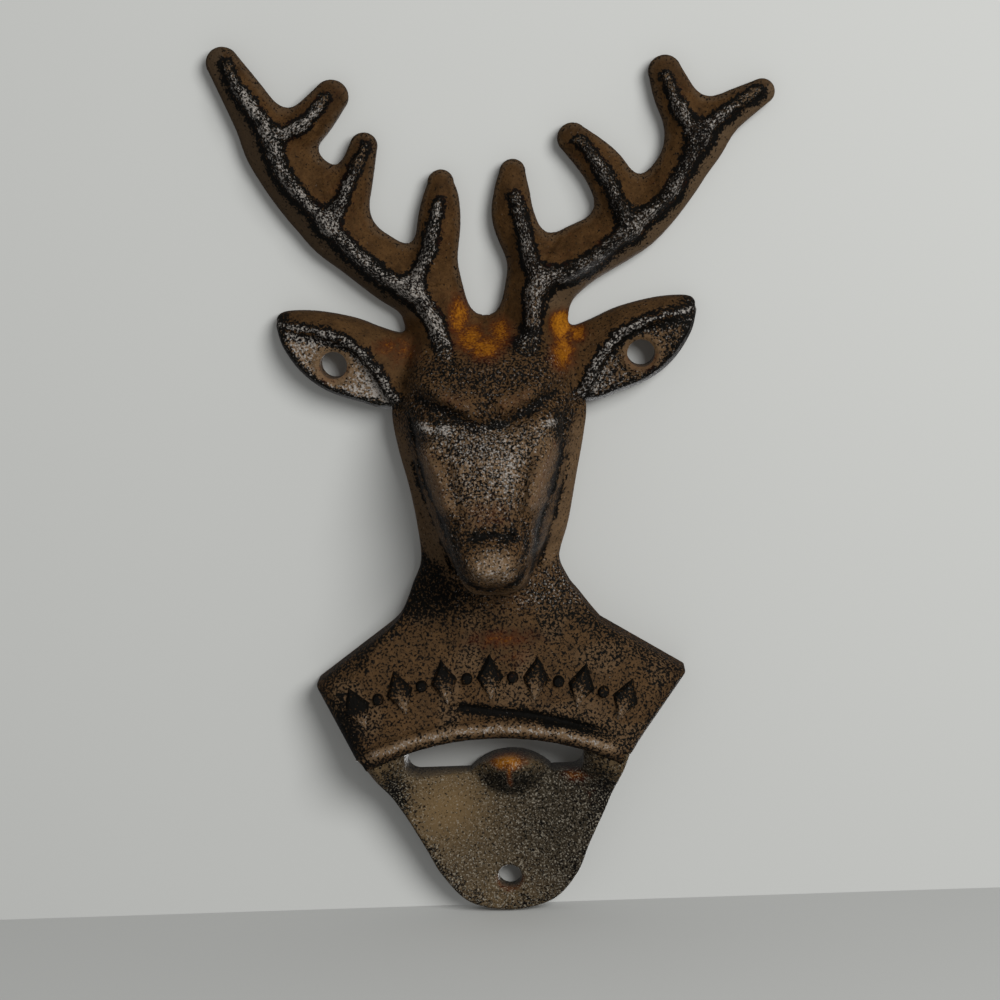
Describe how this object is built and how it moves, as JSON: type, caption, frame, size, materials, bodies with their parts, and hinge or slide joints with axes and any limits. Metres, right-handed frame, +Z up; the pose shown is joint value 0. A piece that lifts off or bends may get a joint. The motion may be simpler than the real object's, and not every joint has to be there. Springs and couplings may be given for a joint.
{
  "type": "wall bottle opener",
  "caption": "Cast iron wall bottle opener in the form of a stag's head on a flared plate, with an arched cap lip over a dished scoop and screw holes in the ears and the scoop.",
  "frame": {"origin": "axis of the lower screw hole, in the plane of the wall", "axes": "+Z up the wall, +X to the viewer's right, +Y into the wall, so that the face looks along -Y"},
  "size_m": [0.113, 0.0327, 0.1812],
  "materials": {
    "painted_iron": "rough rust brown paint over black cast iron",
    "dark_iron": "rough black cast iron",
    "worn_iron": "satin, worn by caps"
  },
  "bodies": {
    "root": {"left_antler": "painted_iron", "right_antler": "painted_iron", "left_ear": "painted_iron", "right_ear": "painted_iron", "head": "painted_iron", "neck": "dark_iron", "plate": "painted_iron", "plate_ornament": "painted_iron", "cap_lip": "worn_iron", "cap_scoop": "worn_iron", "cap_tooth": "worn_iron"}
  },
  "joints": []
}
